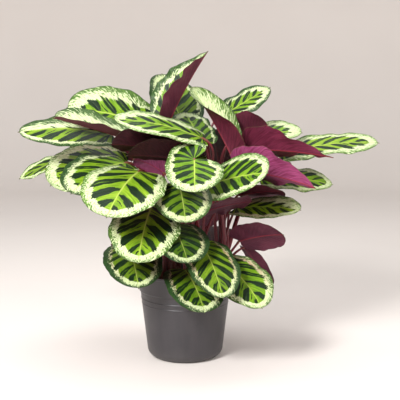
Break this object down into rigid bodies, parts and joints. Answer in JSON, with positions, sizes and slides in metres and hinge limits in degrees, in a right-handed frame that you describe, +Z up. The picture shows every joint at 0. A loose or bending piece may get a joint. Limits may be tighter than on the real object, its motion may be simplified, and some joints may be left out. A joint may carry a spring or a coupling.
{
  "type": "potted calathea plant",
  "caption": "Leafy calathea house plant in a plain tapered nursery pot: oval striped green leaves with cream bands and wine-red undersides on slender red stalks.",
  "frame": {"origin": "middle of the pot's flat underside", "axes": "+Z up through the pot, +X to the viewer's right, +Y away from the viewer"},
  "size_m": [0.6373, 0.3923, 0.5261],
  "materials": {
    "pot_plastic": "smooth warm dark grey plastic, satin",
    "potting_mix": "dark brown crumbly potting mix, matt",
    "stalk": "burgundy-red smooth leaf stalks, slightly waxy",
    "leaf": "waxy leaf: lime green with dark green stripes, a cream band and a green rim above, wine red below"
  },
  "bodies": {
    "root": {"pot": "pot_plastic", "soil": "potting_mix", "shoot_1": "stalk", "shoot_2": "stalk", "shoot_3": "stalk", "shoot_4": "stalk", "shoot_5": "stalk", "shoot_6": "stalk", "shoot_7": "stalk", "shoot_8": "stalk", "leaf_01": "leaf", "leaf_02": "leaf", "leaf_03": "leaf", "leaf_04": "leaf", "leaf_05": "leaf", "leaf_06": "leaf", "leaf_07": "leaf", "leaf_08": "leaf", "leaf_09": "leaf", "leaf_10": "leaf", "leaf_11": "leaf", "leaf_12": "leaf", "leaf_13": "leaf", "leaf_14": "leaf", "leaf_15": "leaf", "leaf_16": "leaf", "leaf_17": "leaf", "leaf_18": "leaf", "leaf_19": "leaf", "leaf_20": "leaf", "leaf_21": "leaf", "leaf_22": "leaf", "leaf_23": "leaf", "leaf_24": "leaf", "leaf_25": "leaf", "leaf_26": "leaf", "leaf_27": "leaf", "leaf_28": "leaf", "leaf_29": "leaf", "leaf_30": "leaf", "leaf_31": "leaf", "leaf_32": "leaf", "leaf_33": "leaf", "leaf_34": "leaf", "leaf_35": "leaf", "leaf_36": "leaf", "leaf_37": "leaf", "leaf_38": "leaf", "leaf_39": "leaf", "leaf_40": "leaf", "leaf_41": "leaf", "leaf_42": "leaf", "leaf_43": "leaf", "leaf_44": "leaf", "leaf_45": "leaf", "leaf_46": "leaf", "leaf_47": "leaf", "leaf_48": "leaf"}
  },
  "joints": []
}
